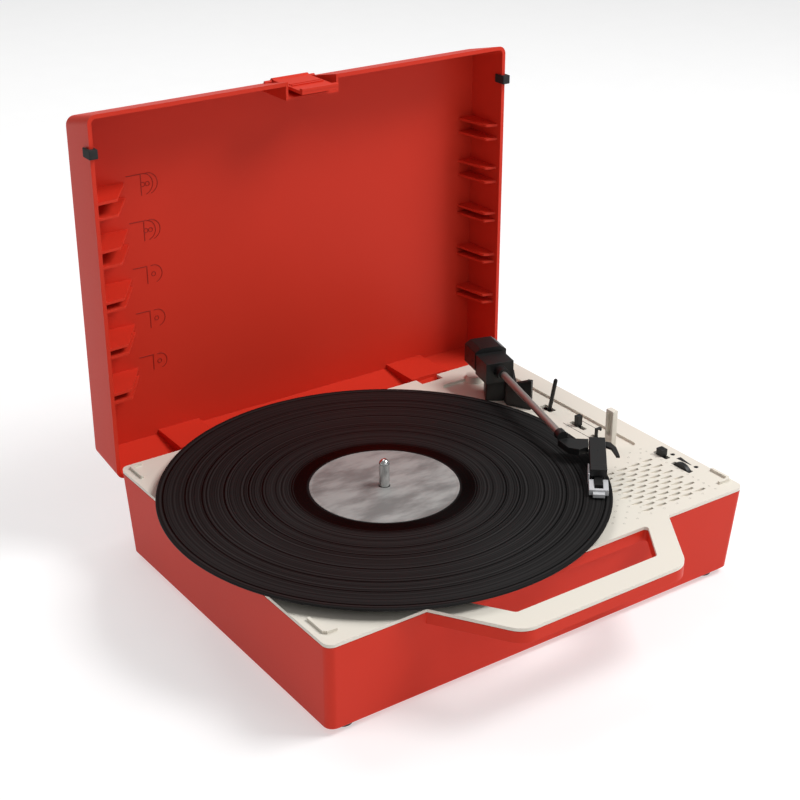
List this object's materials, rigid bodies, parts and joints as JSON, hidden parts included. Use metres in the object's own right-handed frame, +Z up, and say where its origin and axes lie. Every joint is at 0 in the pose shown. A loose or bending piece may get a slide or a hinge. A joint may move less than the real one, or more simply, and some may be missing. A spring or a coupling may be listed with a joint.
{
  "type": "suitcase record player",
  "caption": "Portable record player built as a small case: hinged lid, belt-driven platter with a record, pivoted tonearm, slotted speaker grille and a moulded carrying handle.",
  "frame": {"origin": "centre of the bounding box in x and y, on the surface that the feet stand on", "axes": "+Z up from the feet; -Y is the front with the handle, +Y the hinge side with the open lid; +X is the side with the tonearm"},
  "size_m": [0.359, 0.3586, 0.314],
  "materials": {
    "red_abs": "fine satin",
    "cream_abs": "fine satin",
    "black_abs": "fine satin",
    "grey_abs": "satin",
    "rubber": "matte",
    "felt_rubber": "matte",
    "vinyl": "grooved gloss",
    "label_paper": "coated paper",
    "chrome_steel": "polished",
    "steel": "plated",
    "brass": "turned",
    "gunmetal_tube": "anodised",
    "black_metal": "satin paint",
    "board": "solder mask",
    "cone_paper": "pressed paper",
    "magnet": "ferrite",
    "led_lens": "clear red"
  },
  "bodies": {
    "player_base": {"base_shell": "red_abs", "deck_plate": "cream_abs", "arm_rest_post": "cream_abs", "platter_bearing": "brass", "drive_belt": "rubber", "motor_mount": "steel", "motor_screw_front": "steel", "motor_screw_rear": "steel", "motor": "steel", "speaker_frame": "steel", "speaker_cone": "cone_paper", "speaker_magnet": "magnet", "circuit_board": "board", "dc_jack": "black_abs", "rca_jack_left": "grey_abs", "rca_jack_right": "red_abs", "headphone_jack": "black_abs", "led_power": "led_lens", "led_pairing": "led_lens", "arm_base": "black_abs", "arm_bearing": "brass", "arm_screw_front": "steel", "arm_screw_rear": "steel", "hinge_pin_left": "steel", "hinge_pin_right": "steel", "foot_front_left": "rubber", "deck_screw_front_left": "steel", "foot_front_right": "rubber", "deck_screw_front_right": "steel", "foot_rear_left": "rubber", "deck_screw_rear_left": "steel", "foot_rear_right": "rubber", "deck_screw_rear_right": "steel"},
    "turntable": {"platter": "black_abs", "slipmat": "felt_rubber", "record": "vinyl", "record_label": "label_paper", "spindle": "chrome_steel"},
    "pulley": {"motor_pulley": "brass"},
    "lid": {"lid_shell": "red_abs", "latch_pin": "red_abs", "bumper_left": "rubber", "bumper_right": "rubber"},
    "lid_latch": {"latch": "red_abs"},
    "arm_swing_body": {"arm_swivel": "steel", "arm_tilt_pin": "steel"},
    "arm": {"arm_block": "black_abs", "counterweight": "black_metal", "arm_tube": "gunmetal_tube", "headshell_connector": "black_abs", "headshell": "black_abs", "finger_lift": "black_abs", "cartridge": "black_abs", "stylus": "steel", "stylus_guard": "grey_abs"},
    "cue_lever_body": {"cue_lever": "black_abs"},
    "speed_selector_body": {"speed_selector": "black_abs"},
    "auto_stop_body": {"auto_stop_switch": "black_abs"},
    "mode_switch_body": {"mode_switch": "black_abs"},
    "volume_body": {"volume_wheel": "black_abs"}
  },
  "joints": [
    {"name": "lid_hinge", "type": "hinge", "parent": "player_base", "child": "lid", "pos_m": [0.0108, 0.13275, 0.0594], "axis": [1, 0, 0], "range_deg": [0, 30]},
    {"name": "latch_hinge", "type": "hinge", "parent": "lid", "child": "lid_latch", "pos_m": [0.0108, 0.17155, 0.3073], "axis": [-1, 0, 0], "range_deg": [-5, 15]},
    {"name": "platter_spin", "type": "hinge", "parent": "player_base", "child": "turntable", "pos_m": [-0.0287, -0.00045, 0.0677], "axis": [0, 0, 1], "continuous": true},
    {"name": "pulley_spin", "type": "hinge", "parent": "player_base", "child": "pulley", "pos_m": [-0.1037, -0.00045, 0.0677], "axis": [0, 0, 1], "continuous": true},
    {"name": "arm_swing", "type": "hinge", "parent": "player_base", "child": "arm_swing_body", "pos_m": [0.1258, 0.08155, 0.0677], "axis": [0, 0, 1], "range_deg": [-27.4, 19]},
    {"name": "arm_lift", "type": "hinge", "parent": "arm_swing_body", "child": "arm", "pos_m": [0.1258, 0.08155, 0.0943], "axis": [-0.9694, 0.2453, 0], "range_deg": [-0.2, 12]},
    {"name": "cue_lever_tilt", "type": "hinge", "parent": "player_base", "child": "cue_lever_body", "pos_m": [0.1488, 0.04255, 0.0607], "axis": [-1, 0, 0], "range_deg": [0, 24]},
    {"name": "speed_selector_slide", "type": "slide", "parent": "player_base", "child": "speed_selector_body", "axis": [0, 1, 0], "range_m": [-0.006, 0.006]},
    {"name": "auto_stop_slide", "type": "slide", "parent": "player_base", "child": "auto_stop_body", "axis": [0, 1, 0], "range_m": [-0.003, 0.003]},
    {"name": "mode_switch_slide", "type": "slide", "parent": "player_base", "child": "mode_switch_body", "axis": [0, 1, 0], "range_m": [-0.003, 0.003]},
    {"name": "volume_turn", "type": "hinge", "parent": "player_base", "child": "volume_body", "pos_m": [0.162, -0.08465, 0.0613], "axis": [1, 0, 0], "range_deg": [-135, 135]}
  ],
  "couplings": [
    {"joint": "pulley_spin", "follows": "platter_spin", "ratio": 10}
  ]
}
